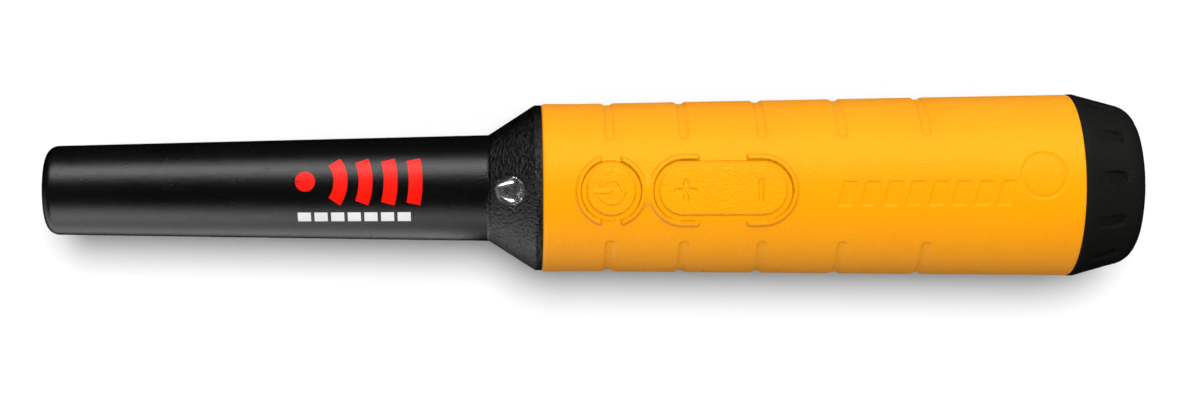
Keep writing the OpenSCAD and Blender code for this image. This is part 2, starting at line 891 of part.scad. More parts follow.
module cap_outside() {
    end_centre = [cap_line_r(length - cap_round) - cap_round / cos(atan(cap_slope)), length - cap_round];
    revolve() polygon(concat(
        [[0, grip_end_s], [cap_rim_r - cap_chamfer, grip_end_s], [cap_rim_r, grip_end_s + cap_chamfer]],
        [[cap_rim_r, grip_end_s + cap_rim_width]],
        arc_points(end_centre, cap_round, atan(cap_slope), 90, 8),
        [[0, length]]
    ));
}

module cap_flute() {
    translate([flute_start_s, 0, cap_line_r(flute_start_s)]) rotate([0, flute_slope, 0])
        linear_extrude(6) {
            translate([-1, -flute_width / 2]) square([7.2, flute_width]);
            translate([6.2, 0]) circle(d = flute_width, $fn = 32);
        }
}

module end_cap() {
    hub_r = 4.4;
    color("#1a1b1b") in_row_frame() {
        difference() {
            cap_outside();
            for (i = [0:flute_count - 1])
                rotate([360 * (i + flute_phase) / flute_count, 0, 0]) cap_flute();
            revolve() polygon([
                [0, grip_end_s - slack],
                [cap_seal_bore_r, grip_end_s - slack],
                [cap_seal_bore_r, cap_step_s - 0.2],
                [cap_bore_r, cap_step_s + 0.4],
                [cap_bore_r, neck_end_s + 0.3],
                [14, neck_end_s + 0.3],
                [13, cap_cavity_end_s],
                [0, cap_cavity_end_s]
            ]);
        }
        thread_ridge(thread_s + pitch / 2, cap_bore_r, -1, 0.85);
        ring_x(neck_end_s + 1, cap_cavity_end_s + 0.4, 1.2, hub_r);
    }
}

// The pad carrier stays still against the battery while the cap turns round its screw.
module pad_carrier() {
    color("#3a3d40") in_row_frame() difference() {
        union() {
            rod_x(243, 245, 13);
            rod_x(244, neck_end_s + 0.95, 3.6);
        }
        rod_x(242, neck_end_s + 2, 1.6);
        rod_x(242, 244, 3.2);
    }
}

module battery_pad() {
    color("#565b5e") in_row_frame() ring_x(battery_end_s, 243, 4, 12);
}

module pad_screw() {
    color("#b9bcc0") in_row_frame() difference() {
        union() {
            rod_x(243.6, cap_cavity_end_s - 0.4, 1.2);
            rod_x(242.6, 243.9, 2.7);
        }
        block(242, 243.1, -2.2, 2.2, -0.3, 0.3);
    }
}

probe_housing();
grip_sleeve();
led_lens();
lens_seal();
led();
led_holder();
led_leads();
ferrite_core();
coil_bobbin();
transmit_winding();
receive_windings();
tip_pad();
coil_spacer();
coil_leads();
chassis();
main_board();
board_screws();
chassis_screws();
power_dome();
sensitivity_domes();
microcontroller();
capacitors();
inductor();
board_connectors();
speaker_basket();
speaker_cone();
speaker_magnet();
speaker_leads();
motor_can();
motor_boot();
motor_leads();
motor_shaft();
eccentric_weight();
contact_board();
positive_contact();
negative_contact();
battery_wire_red();
battery_wire_black();
battery_case();
battery_positive_terminal();
battery_negative_terminal();
power_key();
power_key_web();
sensitivity_key();
sensitivity_key_web();
neck_o_ring();
end_cap();
pad_carrier();
battery_pad();
pad_screw();
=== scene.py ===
# The looks of the pinpointer probe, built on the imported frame.
#
# Shapes are worked out in millimetres along the probe's own line: s runs from the tip to the end cap,
# y goes across and z through the keys, with y = z = 0 on the axis. place() moves them to the row frame.
import json
import math

import bmesh
import bpy
import numpy as np
from mathutils import Matrix, Vector

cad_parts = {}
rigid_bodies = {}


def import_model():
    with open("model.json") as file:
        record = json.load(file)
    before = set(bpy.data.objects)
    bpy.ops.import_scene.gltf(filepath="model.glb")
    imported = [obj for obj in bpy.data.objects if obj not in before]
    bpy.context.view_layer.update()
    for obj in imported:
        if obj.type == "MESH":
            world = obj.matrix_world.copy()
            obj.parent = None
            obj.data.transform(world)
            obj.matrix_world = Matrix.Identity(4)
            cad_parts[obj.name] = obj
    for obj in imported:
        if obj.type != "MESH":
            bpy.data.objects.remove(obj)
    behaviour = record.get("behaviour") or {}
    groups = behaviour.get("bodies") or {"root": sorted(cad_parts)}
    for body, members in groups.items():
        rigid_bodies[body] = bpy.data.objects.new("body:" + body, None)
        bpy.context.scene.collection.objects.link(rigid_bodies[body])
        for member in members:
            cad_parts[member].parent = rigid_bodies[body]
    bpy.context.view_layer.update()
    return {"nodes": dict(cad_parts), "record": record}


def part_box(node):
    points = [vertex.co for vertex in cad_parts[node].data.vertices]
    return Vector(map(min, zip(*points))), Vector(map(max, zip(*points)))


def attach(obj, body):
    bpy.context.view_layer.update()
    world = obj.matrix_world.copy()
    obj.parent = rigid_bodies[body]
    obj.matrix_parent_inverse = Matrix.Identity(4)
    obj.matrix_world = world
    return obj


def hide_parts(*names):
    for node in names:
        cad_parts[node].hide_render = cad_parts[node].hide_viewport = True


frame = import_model()
nodes = frame["nodes"]

MM = 0.001
TIP_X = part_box("probe_housing")[0].x
AXIS_Z = (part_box("end_cap")[0].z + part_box("end_cap")[1].z) / 2


def span_s(node):
    """Where a CAD node starts and ends along the probe, in millimetres from the tip."""
    low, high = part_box(node)
    return (low.x - TIP_X) / MM, (high.x - TIP_X) / MM


def reach_z(node):
    """The top of a CAD node over the axis, in millimetres."""
    return (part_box(node)[1].z - AXIS_Z) / MM


def bottom_z(node):
    """The bottom of a CAD node over the axis, in millimetres."""
    return (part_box(node)[0].z - AXIS_Z) / MM


def width_y(node):
    """The width of a CAD node across the probe, in millimetres."""
    low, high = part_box(node)
    return (high.y - low.y) / MM


# Stations and radii of the probe. Those that no box of a CAD node gives are listed.
LENGTH = span_s("end_cap")[1]
GRIP_S, GRIP_END_S = span_s("grip_sleeve")
NECK_END_S = span_s("probe_housing")[1]
CAP_R = reach_z("end_cap")
SHOULDER_R = width_y("probe_housing") / 2
SHOULDER_S = 102.1
SHOULDER_SLOPE = 0.645
NOSE_TIP_R = 10.25
NOSE_ROOT_R = 12.36
RIM_S = SHOULDER_S + (SHOULDER_R - NOSE_ROOT_R) / SHOULDER_SLOPE
GRIP_FRONT_R = 19.42
GRIP_REAR_R = 21.3
BARREL_FRONT_R = 17.3
BARREL_REAR_R = 18.3
NECK_R = 16.6
BORE_R = 15.5
SEAL_GROOVE_R = 17.0
SEAL_LIP_R = 17.35
THREAD_PITCH = 3.0
CAP_BORE_R = 17.6
CAP_SEAL_R = 18.65

# The two keys and what is round them.

POWER_S = sum(span_s("power_key")) / 2
POWER_D = width_y("power_key")
ROCKER_S = sum(span_s("sensitivity_key")) / 2
ROCKER_LONG = span_s("sensitivity_key")[1] - span_s("sensitivity_key")[0]
ROCKER_WIDE = width_y("sensitivity_key")
ROCKER_ARM = 8.55
WEB = 1.15
KEY_PROUD = 0.3
KEY_ROUND = 0.6
RING_SPACING = 0.14
NEARLY_NOTHING = 1e-4


# ---- Camera ----

def aim_camera():
    """A 72 mm lens 0.56 m over the probe, looking down, with the probe's far side up in the picture."""
    stand = Vector((TIP_X + 102.2 * MM, 24.6 * MM, AXIS_Z + 561 * MM))
    target = Vector((TIP_X + 128.1 * MM, -2.95 * MM, AXIS_Z))
    forward = (target - stand).normalized()
    right = forward.cross(Vector((0, 1, 0))).normalized()
    up = right.cross(forward)
    turn = Matrix.Rotation(math.radians(0.19), 3, forward)
    axes = Matrix((turn @ right, turn @ up, -forward)).transposed()
    camera = bpy.data.objects.new("camera", bpy.data.cameras.new("camera"))
    camera.data.lens = 72
    camera.data.sensor_width = 36
    camera.matrix_world = Matrix.Translation(stand) @ axes.to_4x4()
    bpy.context.scene.collection.objects.link(camera)
    bpy.context.scene.camera = camera


aim_camera()


# ---- Mesh making ----

def place(points):
    """Millimetres along the probe to metres in the row frame."""
    points = np.asarray(points, float)
    return points * MM + np.array([TIP_X, 0, AXIS_Z])


def add_mesh(name, points, faces, sharp_deg=35):
    """A smooth-shaded object with edges sharper than sharp_deg kept sharp."""
    mesh = bpy.data.meshes.new(name)
    mesh.from_pydata([tuple(p) for p in points], [], [tuple(int(i) for i in f) for f in faces])
    bm = bmesh.new()
    bm.from_mesh(mesh)
    bmesh.ops.remove_doubles(bm, verts=bm.verts, dist=1e-7)
    bmesh.ops.dissolve_degenerate(bm, edges=bm.edges, dist=1e-8)
    bmesh.ops.recalc_face_normals(bm, faces=bm.faces)
    bm.to_mesh(mesh)
    bm.free()
    mesh.shade_smooth()
    mesh.set_sharp_from_angle(angle=math.radians(sharp_deg))
    piece = bpy.data.objects.new(name, mesh)
    bpy.context.scene.collection.objects.link(piece)
    return piece


def grid_faces(rows, columns, wrap_rows=False, wrap_columns=False, start=0):
    """Quads over a grid of points stored row by row."""
    r = np.arange(rows if wrap_rows else rows - 1)
    c = np.arange(columns if wrap_columns else columns - 1)
    r, c = np.meshgrid(r, c, indexing="ij")
    r2 = (r + 1) % rows
    c2 = (c + 1) % columns
    quads = np.stack([r * columns + c, r * columns + c2, r2 * columns + c2, r2 * columns + c], -1)
    return quads.reshape(-1, 4) + start


def rounded_path(corners, step_deg=7.5, support=0.25):
    """A path through corners given as (s, r, rounding), with an arc at each and a point beside it."""
    path = []
    for i, (s, r, rounding) in enumerate(corners):
        here = np.array([s, r], float)
        if i in (0, len(corners) - 1) or rounding <= 0:
            path.append(here)
            continue
        before = np.array(corners[i - 1][:2], float) - here
        after = np.array(corners[i + 1][:2], float) - here
        room_before, room_after = np.linalg.norm(before), np.linalg.norm(after)
        before, after = before / room_before, after / room_after
        half = math.acos(np.clip(before @ after, -1, 1)) / 2
        reach = rounding / math.tan(half)
        bisector = (before + after) / np.linalg.norm(before + after)
        centre = here + bisector * rounding / math.sin(half)
        first = here + before * reach
        last = here + after * reach
        swing = math.pi - 2 * half
        count = max(2, math.ceil(math.degrees(swing) / step_deg))
        if room_before > reach + support:
            path.append(first + before * support)
        side = math.copysign(1, before[0] * after[1] - before[1] * after[0])
        spoke = first - centre
        for k in range(count + 1):
            a = -side * swing * k / count
            path.append(centre + np.array([spoke[0] * math.cos(a) - spoke[1] * math.sin(a),
                                           spoke[0] * math.sin(a) + spoke[1] * math.cos(a)]))
        if room_after > reach + support:
            path.append(last + after * support)
    return np.array(path)


def around(s, r, a):
    """Points at station s and radius r, turned by angle a from the keys about the probe's axis."""
    return np.stack(np.broadcast_arrays(s, r * np.sin(a), r * np.cos(a)), -1)


def smooth(x):
    """0 below 0, 1 above 1, and a smooth rise between."""
    x = np.clip(x, 0, 1)
    return x * x * (3 - 2 * x)


def blended_min(a, b, k):
    """The smaller of a and b, rounded where they cross over a width of k."""
    h = np.clip(0.5 + 0.5 * (b - a) / k, 0, 1)
    return b + (a - b) * h - k * h * (1 - h)


def slot_distance(s, y, centre, long, wide):
    """Distance from a slot's outline, negative inside."""
    half = (long - wide) / 2
    ds = np.abs(s - centre)
    return np.hypot(np.maximum(ds - half, 0), y) - wide / 2


def box_distance(s, y, centre_s, centre_y, long, wide, corner):
    """Distance from a rectangle with rounded corners, negative inside."""
    ds = np.abs(s - centre_s) - long / 2 + corner
    dy = np.abs(y - centre_y) - wide / 2 + corner
    return np.hypot(np.maximum(ds, 0), np.maximum(dy, 0)) + np.minimum(np.maximum(ds, dy), 0) - corner


def join_parts(name, *parts):
    """Several (points, faces) pairs as one mesh."""
    points, faces, start = [], [], 0
    for part_points, part_faces in parts:
        points.append(np.asarray(part_points).reshape(-1, 3))
        faces.extend([[i + start for i in f] for f in np.asarray(part_faces).tolist()])
        start += len(points[-1])
    return add_mesh(name, place(np.concatenate(points)), faces)


# ---- Surfaces of the probe ----

def grip_r(s):
    """The grip's outer radius, without its relief."""
    return GRIP_FRONT_R + (GRIP_REAR_R - GRIP_FRONT_R) * (s - GRIP_S) / (GRIP_END_S - GRIP_S)


def barrel_r(s):
    """The outer radius of the housing under the grip."""
    return BARREL_FRONT_R + (BARREL_REAR_R - BARREL_FRONT_R) * (s - GRIP_S) / (GRIP_END_S - GRIP_S)


def nose_r(s):
    """The nose's radius."""
    return NOSE_TIP_R + (NOSE_ROOT_R - NOSE_TIP_R) * s / SHOULDER_S


# The grip's relief: finger grooves, the guards round the keys, slanted bars and a ring.
GROOVES = [129.7, 146.6, 164.5, 182.9, 202.3]
GROOVE_ANGLE = math.radians(35.5)
GROOVE_HALF = 1.35
GROOVE_DEPTH = 0.46
GUARD_HEIGHT = 0.95
BAR_STATIONS = [183.5 + 5.2 * i for i in range(8)]
BAR_LONG = 3.3
BAR_WIDE = 5.6
BAR_Y = -0.8
BAR_LEAN = 0.25
BAR_DEPTH = 0.36
RING_S = 228.4
RING_Y = 3.1
RING_R = 5.0
RING_DEPTH = 0.3


def grip_height(s, a):
    """The grip's relief over its cone, in millimetres, at station s and angle a from the keys."""
    r = grip_r(s)
    y = r * np.sin(a)
    on_top = np.cos(a) > 0
    h = np.zeros_like(y)
    for groove in GROOVES:
        past_end = r * (GROOVE_ANGLE + GROOVE_HALF / 20 - np.abs(a))
        d = np.hypot(s - groove, np.maximum(past_end, 0))
        h -= GROOVE_DEPTH * (1 - smooth((d - 0.55) / 0.85))
    power = slot_distance(s, y, POWER_S, POWER_D, POWER_D)
    rocker = slot_distance(s, y, ROCKER_S, ROCKER_LONG, ROCKER_WIDE)
    inside = smooth((power - WEB) / 0.22) * smooth((rocker - WEB) / 0.22)
    outside = blended_min(power, rocker, 2.6) - WEB - 0.75
    open_power = 1 - smooth((np.abs(s - POWER_S) - 2.15) / 0.3)
    open_rocker = 1 - smooth((np.abs(s - ROCKER_S) - 5.35) / 0.3)
    gap = np.where(power < rocker, open_power, open_rocker)
    guard = GUARD_HEIGHT * inside * (1 - smooth(outside / 0.95)) * (1 - gap)
    h += np.where(on_top, guard, 0)
    for bar in BAR_STATIONS:
        leaning_s = s - BAR_LEAN * (y - BAR_Y)
        d = box_distance(leaning_s, y, bar, BAR_Y, BAR_LONG, BAR_WIDE, 0.35)
        h -= np.where(on_top, BAR_DEPTH * (1 - smooth((d + 0.15) / 0.3)), 0)
    ring = np.abs(np.hypot(s - RING_S, y - RING_Y) - RING_R)
    h -= np.where(on_top, RING_DEPTH * (1 - smooth((ring - 0.2) / 0.3)), 0)
    front = np.clip(1 - (s - GRIP_S) / 0.9, 0, 1)
    rear = np.clip(1 - (GRIP_END_S - s) / 0.4, 0, 1)
    h -= 0.8 * (1 - np.sqrt(1 - front**2)) + 0.4 * (1 - np.sqrt(1 - rear**2))
    h += 0.16 * (1 - smooth((s - GRIP_S) / 9))
    return h


def stations(*spans):
    """Grid lines: each span is (start, end, spacing), and finer spans win where they overlap."""
    lines = set()
    for start, end, spacing in sorted(spans, key=lambda span: -span[2]):
        lines = {x for x in lines if x < start - spacing / 2 or x > end + spacing / 2}
        count = max(1, round((end - start) / spacing))
        lines |= {round(start + (end - start) * k / count, 4) for k in range(count + 1)}
    return np.array(sorted(lines))


def build_grip():
    """The rubber sleeve, with wells where the keys lie."""
    s = stations(
        (GRIP_S, GRIP_END_S, 2.0),
        (GRIP_S, GRIP_S + 1.0, 0.1),
        (GRIP_END_S - 0.5, GRIP_END_S, 0.1),
        (POWER_S - 9.2, ROCKER_S + ROCKER_LONG / 2 + 3.4, 0.24),
        *[(g - 1.8, g + 1.8, 0.25) for g in GROOVES[3:]],
        (BAR_STATIONS[0] - 3, RING_S + 5.8, 0.26),
    )
    degrees = stations((-180, 180, 2.5), (-27.5, 27.5, 0.7), (32.5, 39, 0.6), (-39, -32.5, 0.6))[:-1]
    a = np.radians(degrees)
    s_grid, a_grid = np.meshgrid(s, a, indexing="ij")
    r = grip_r(s_grid) + grip_height(s_grid, a_grid)
    y = grip_r(s_grid) * np.sin(a_grid)
    well = np.minimum(slot_distance(s_grid, y, POWER_S, POWER_D, POWER_D),
                      slot_distance(s_grid, y, ROCKER_S, ROCKER_LONG, ROCKER_WIDE)) - WEB
    deep = barrel_r(s_grid) + 0.1
    r = np.where((np.cos(a_grid) > 0) & (well < 0.02), deep, r)
    inner_s = np.array([[GRIP_END_S], [GRIP_S]])
    points = np.concatenate([around(s_grid, r, a_grid), around(inner_s, barrel_r(inner_s), a)])
    faces = grid_faces(len(s) + 2, len(a), wrap_rows=True, wrap_columns=True)
    piece = add_mesh("grip_sleeve_skin", place(points.reshape(-1, 3)), faces, 50)
    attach(piece, "probe")
    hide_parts("grip_sleeve")
    return piece


# ---- Keys ----

def slot_rings(centre, long, wide, insets, arc_steps=100, side_steps=110):
    """Rings of (s, y) points that follow a slot's outline, each pulled in by an inset."""
    half = (long - wide) / 2
    rings = []
    for inset in insets:
        r = wide / 2 - inset
        ring = []
        for side in (1, -1):
            for k in range(arc_steps):
                t = -math.pi / 2 + math.pi * k / arc_steps
                ring.append((centre + side * (half + r * math.cos(t)), side * r * math.sin(t)))
            if half > 0:
                for k in range(side_steps):
                    ring.append((centre + side * (half - 2 * half * k / side_steps), side * r))
        rings.append(ring)
    return np.array(rings)


def key_top(s, y, centre, crown=30.0):
    """The key's top surface over the axis."""
    return grip_r(centre) + KEY_PROUD - crown + np.sqrt(crown**2 - y**2)


def power_relief(s, y):
    """The raised power mark: an open ring and a bar."""
    u = s - POWER_S
    ring = np.abs(np.hypot(u, y) - 2.65) - 0.48
    opening = np.where(u < 0, np.abs(y) - 1.25, 9)
    ring = np.maximum(ring, -opening)
    bar = box_distance(u, y, -2.05, 0, 4.3, 0.95, 0.4)
    return 0.3 * (1 - smooth((np.minimum(ring, bar) + 0.12) / 0.3))


def rocker_relief(s, y):
    """The sunk plus and minus."""
    u = s - ROCKER_S
    plus = np.minimum(box_distance(u, y, -ROCKER_ARM, 0, 5.2, 1.1, 0.5),
                      box_distance(u, y, -ROCKER_ARM, 0, 1.1, 5.2, 0.5))
    minus = box_distance(u, y, ROCKER_ARM, 0, 1.1, 5.3, 0.5)
    return -0.42 * (1 - smooth((np.minimum(plus, minus) + 0.2) / 0.4))


def build_key(name, node, body, centre, long, wide, relief, bottom, stems):
    """A key with a rounded edge, its mark, a curved underside and its plungers."""
    edge = [KEY_ROUND * (1 - math.cos(math.radians(t))) for t in range(0, 91, 9)]
    drop = [KEY_ROUND * (1 - math.sin(math.radians(t))) for t in range(0, 91, 9)]
    fine = list(np.arange(KEY_ROUND + RING_SPACING, wide / 2 - 0.01, RING_SPACING))
    bottom_r = barrel_r(centre) + bottom
    rings = slot_rings(centre, long, wide, edge + fine + [wide / 2 - NEARLY_NOTHING])
    s, y = rings[..., 0], rings[..., 1]
    falls = np.array(drop + [0] * (len(fine) + 1))[:, None]
    z = key_top(s, y, centre) + relief(s, y) - falls
    top = np.stack([s, y, z], -1)
    wall = top[:1].copy()
    wall[..., 2] = np.sqrt(bottom_r**2 - wall[..., 1] ** 2)
    under_rings = slot_rings(centre, long, wide, [wide / 4, wide / 2 - NEARLY_NOTHING])
    under_s, under_y = np.moveaxis(under_rings, -1, 0)
    under = np.stack([under_s, under_y, np.sqrt(bottom_r**2 - under_y**2)], -1)
    stack = np.concatenate([under[::-1], wall, top])
    rows, columns = stack.shape[:2]
    parts = [(stack, grid_faces(rows, columns, wrap_columns=True))]
    for stem_s in stems:
        parts.append(stem_mesh(stem_s, bottom_z(node), bottom_r + 0.2))
    piece = join_parts(name, *parts)
    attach(piece, body)
    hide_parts(node)
    return piece


def stem_mesh(s, z0, z1, r=2.0, segments=48):
    """A key's plunger, with a small round at its foot."""
    profile = [(0.001, z0), (r - 0.3, z0), (r - 0.09, z0 + 0.09), (r, z0 + 0.3), (r, z1), (0.001, z1)]
    a = np.arange(segments) * 2 * math.pi / segments
    points = [[s + pr * math.cos(t), pr * math.sin(t), pz] for pr, pz in profile for t in a]
    return np.array(points), grid_faces(len(profile), segments, wrap_rows=True, wrap_columns=True)


def build_web(name, node, centre, long, wide):
    """The thin dished web between a key and the grip."""
    section = [(0.02, -0.3), (0.2, -0.35), (0.5, -0.36), (0.8, -0.3), (WEB - 0.03, -0.2),
               (WEB - 0.03, -0.9), (0.55, -1.06), (0.02, -0.95)]
    rings = slot_rings(centre, long, wide, [-d for d, _ in section])
    s, y = rings[..., 0], rings[..., 1]
    height = np.array([h for _, h in section])[:, None]
    z = np.sqrt(grip_r(centre) ** 2 - y**2) + height
    points = np.stack([s, y, z], -1)
    piece = join_parts(name, (points, grid_faces(*points.shape[:2], wrap_rows=True, wrap_columns=True)))
    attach(piece, "probe")
    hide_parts(node)
    return piece


# ---- Housing and end cap ----

def helix(s0, root_r, direction, turns, play=0.35, height=0.7):
    """A thread's ridge with faded ends. direction is 1 on the neck and -1 in the cap."""
    steps = round(turns * 90)
    half_root = (THREAD_PITCH / 2 - play) / 2 + 0.25
    half_crest = half_root - 0.35
    points = []
    for i in range(steps + 1):
        a = 2 * math.pi * turns * i / steps
        fade = min(1, min(i, steps - i) / 10)
        root = root_r - direction * 0.2
        crest = root_r + direction * height * fade - direction * 0.1 * (1 - fade)
        s = s0 + THREAD_PITCH * turns * i / steps
        for r, ds in ((root, -half_root), (crest, -half_crest), (crest, half_crest), (root, half_root)):
            points.append([s + ds, -r * math.sin(a), r * math.cos(a)])
    faces = grid_faces(steps + 1, 4, wrap_columns=True).tolist()
    return np.array(points), faces


def turned_part(outline, segments=240):
    """A closed outline of (s, r) points turned about the probe's axis."""
    angle = np.arange(segments) * 2 * math.pi / segments
    points = around(outline[:, :1], outline[:, 1:], angle)
    return points, grid_faces(len(outline), segments, wrap_rows=True, wrap_columns=True)


def build_housing():
    """Nose, shoulder, barrel and threaded neck in one turned shell, with the lamp's hole cut through."""
    outline = rounded_path([
        (0, 0.001, 0),
        (0, NOSE_TIP_R, 2.8),
        (SHOULDER_S, NOSE_ROOT_R, 0.5),
        (RIM_S, SHOULDER_R, 0.6),
        (GRIP_S, SHOULDER_R, 0.12),
        (GRIP_S, BARREL_FRONT_R, 0),
        (GRIP_END_S, BARREL_REAR_R, 0),
        (GRIP_END_S, SEAL_GROOVE_R, 0.1),
        (GRIP_END_S + 2.1, SEAL_GROOVE_R, 0.1),
        (GRIP_END_S + 2.1, SEAL_LIP_R, 0.1),
        (241.35, SEAL_LIP_R, 0.15),
        (241.6, NECK_R, 0.1),
        (NECK_END_S - 0.1, NECK_R, 0.35),
        (NECK_END_S - 0.1, BORE_R, 0.2),
        (114.5, BORE_R, 0),
        (102.9, 10.66, 0),
        (3.2, 8.55, 0),
        (2.2, 7.55, 0),
        (2.2, 0.001, 0),
    ])
    nose = np.argmax(np.hypot(*np.diff(outline[:40], axis=0).T))
    nose_rings = np.linspace(outline[nose], outline[nose + 1], 14)[1:-1]
    outline = np.insert(outline, nose + 1, nose_rings, axis=0)
    shell = turned_part(outline)
    thread = helix(242.4, NECK_R, 1, 1.1)
    piece = join_parts("housing_shell", shell, thread)
    cut_lens_hole(piece)
    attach(piece, "probe")
    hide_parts("probe_housing")
    return piece


# The lamp's window on the shoulder.
LENS_S = 106.7
LENS_Z = NOSE_ROOT_R + SHOULDER_SLOPE * (LENS_S - SHOULDER_S)
LENS_TILT = math.radians(17)
LENS_R = 3.2


def lens_matrix():
    """The lamp's own frame: z out along its axis, with its origin on the shoulder."""
    turn = Matrix.Rotation(LENS_TILT - math.pi / 2, 4, "Y")
    spot = Vector(place([LENS_S, 0, LENS_Z]).tolist())
    return Matrix.Translation(spot) @ turn


def lathe_on_lamp(name, profile, segments=96, sharp_deg=35):
    """A closed profile of (r, z) points turned about the lamp's axis."""
    a = np.arange(segments) * 2 * math.pi / segments
    points = [[r * math.cos(t) * MM, r * math.sin(t) * MM, z * MM] for r, z in profile for t in a]
    frame_of_lamp = lens_matrix()
    points = [frame_of_lamp @ Vector(p) for p in points]
    faces = grid_faces(len(profile), segments, wrap_rows=True, wrap_columns=True)
    return add_mesh(name, points, faces, sharp_deg)


def cut_lens_hole(piece):
    """Drills the lamp's bore through the shoulder."""
    hole_r = LENS_R + 0.05
    cutter = lathe_on_lamp("lens_hole", [(0.001, -9.8), (hole_r, -9.8), (hole_r, 9), (0.001, 9)])
    cut = piece.modifiers.new("lens_hole", "BOOLEAN")
    cut.operation = "DIFFERENCE"
    cut.solver = "EXACT"
    cut.object = cutter
    bpy.context.view_layer.update()
    finished = bpy.data.meshes.new_from_object(piece.evaluated_get(bpy.context.evaluated_depsgraph_get()))
    piece.modifiers.clear()
    piece.data = finished
    finished.shade_smooth()
    finished.set_sharp_from_angle(angle=math.radians(35))
    bpy.data.objects.remove(cutter)


CAP_SLOPE = 0.27
CAP_RIM_WIDTH = 1.2
CAP_WALL = 2.3
FLUTES = 12
FLUTE_WIDE = 2.9
FLUTE_DEPTH = 1.15
FLUTE_PHASE = math.radians(7.2)
FLUTE_START = 2.2
FLUTE_END = 9.8


def cap_path():
    """The cap's outside, from its seal past the rim and down its slope to the middle of its end."""
    end_r = CAP_R - CAP_SLOPE * (LENGTH - GRIP_END_S - CAP_RIM_WIDTH)
    return rounded_path([
        (GRIP_END_S, CAP_SEAL_R, 0),
        (GRIP_END_S, CAP_R, 0.35),
        (GRIP_END_S + CAP_RIM_WIDTH, CAP_R, 0.5),
        (LENGTH, end_r, 5.5),
        (LENGTH, 0.001, 0),
    ], step_deg=5)


def build_cap():
    """The fluted cap: its outside line is sampled finely where the flutes run, then pushed in by them."""
    path = cap_path()
    steps = np.hypot(*np.diff(path, axis=0).T)
    along = np.concatenate([[0], np.cumsum(steps)])
    rim = along[np.argmax(path[:, 1])]
    fine = stations((0, along[-1], 1.2), (rim, rim + 14, 0.22))
    fine = np.array(sorted(set(fine.round(3)) | set(along[along < rim + 1].round(3))))
    line = np.stack([np.interp(fine, along, path[:, 0]), np.interp(fine, along, path[:, 1])], -1)
    tangent = np.gradient(line, axis=0)
    tangent /= np.linalg.norm(tangent, axis=1)[:, None]
    inward = np.stack([tangent[:, 1], -tangent[:, 0]], -1)
    offsets = [0, 1.6, 2.9, 3.4, 3.8, 4.1, 4.4, 4.8, 5.4, 7, 9.5, 12.3]
    offsets = sorted({-o for o in offsets} | set(offsets) | {15})
    degrees = np.array([360 / FLUTES * i + o for i in range(FLUTES) for o in offsets])
    a = np.radians(degrees) + FLUTE_PHASE
    in_flute = np.radians(np.tile(offsets, FLUTES))
    start, end = rim + FLUTE_START, rim + FLUTE_END
    l_grid = fine[:, None] + 0 * a
    w_grid = line[:, 1][:, None] * in_flute
    half = FLUTE_WIDE / 2
    past = np.maximum(l_grid - (end - half), 0)
    d = np.hypot(w_grid, past) - half
    ramp = np.clip((l_grid - start) / (end - start), 0, 1)
    depth = FLUTE_DEPTH * ramp * (1 - smooth((d + 0.3) / 0.5))
    s = line[:, :1] + depth * inward[:, :1]
    r = line[:, 1:] + depth * inward[:, 1:]
    inside_line = np.array([
        (LENGTH - CAP_WALL, 0.001),
        (LENGTH - CAP_WALL, 13),
        (246.9, 14),
        (246.9, CAP_BORE_R),
        (241.8, CAP_BORE_R),
        (241.2, CAP_SEAL_R),
    ])
    shell = np.concatenate([around(s, r, a), around(inside_line[:, :1], inside_line[:, 1:], a)])
    faces = grid_faces(len(shell), len(a), wrap_rows=True, wrap_columns=True)
    thread = helix(243.9, CAP_BORE_R, -1, 0.85)
    hub_end_s = LENGTH - CAP_WALL + 0.4
    hub = turned_part(np.array([(247.6, 1.2), (247.6, 4.4), (hub_end_s, 4.4), (hub_end_s, 1.2)]), 60)
    piece = join_parts("cap_shell", (shell, faces), thread, hub)
    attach(piece, "cap")
    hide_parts("end_cap")
    return piece


# ---- Lamp ----

def build_lens():
    """The window: its outer face is domed and leans with the shoulder, and its back is hollow."""
    lean = 1 / math.tan(math.atan(SHOULDER_SLOPE) + LENS_TILT)
    edge = 0.12
    rings = [0.001] + [LENS_R * k / 12 for k in range(1, 12)] + [LENS_R - edge, LENS_R - 0.02, LENS_R]
    spokes = 96
    angles = [2 * math.pi * k / spokes for k in range(spokes)]
    layers = []
    for r in rings:
        drop = 0.1 * max(0, (r - LENS_R + edge) / edge) ** 2
        dome = 0.8 * (1 - (r / LENS_R) ** 2)
        z = dome - edge - drop
        layers.append([(r * math.cos(t), r * math.sin(t), z - lean * 0.97 * r * math.cos(t)) for t in angles])
    for r, z in ((LENS_R, -3.4), (2.9, -3.4), (2.75, -3.1), (1.6, -2.75), (0.001, -2.7)):
        layers.append([(r * math.cos(t), r * math.sin(t), z) for t in angles])
    lamp = lens_matrix()
    points = [lamp @ (Vector(p) * MM) for layer in layers for p in layer]
    piece = add_mesh("lamp_lens", points, grid_faces(len(layers), spokes, wrap_columns=True), 40)
    piece.visible_shadow = False
    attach(piece, "probe")
    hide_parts("led_lens")
    return piece


# ---- Prints on the nose ----

def print_sheet(s, t, lift=0.02, thickness=0.04):
    """A thin closed print on the nose over a grid of stations s and arc positions t, in millimetres."""
    layers = []
    for h in (lift, lift + thickness):
        r = nose_r(s) + h
        layers.append(np.stack([s, r * np.sin(t / nose_r(s)), r * np.cos(t / nose_r(s))], -1).reshape(-1, 3))
    rows, columns = s.shape
    count = rows * columns
    faces = grid_faces(rows, columns, start=count).tolist()
    faces += [f[::-1] for f in grid_faces(rows, columns).tolist()]
    border = list(range(columns))
    border += [columns * (j + 1) - 1 for j in range(1, rows)]
    border += [columns * (rows - 1) + i for i in range(columns - 2, -1, -1)]
    border += [columns * j for j in range(rows - 2, 0, -1)]
    for p, q in zip(border, border[1:] + border[:1]):
        faces.append([p, q, q + count, p + count])
    return np.concatenate(layers), faces


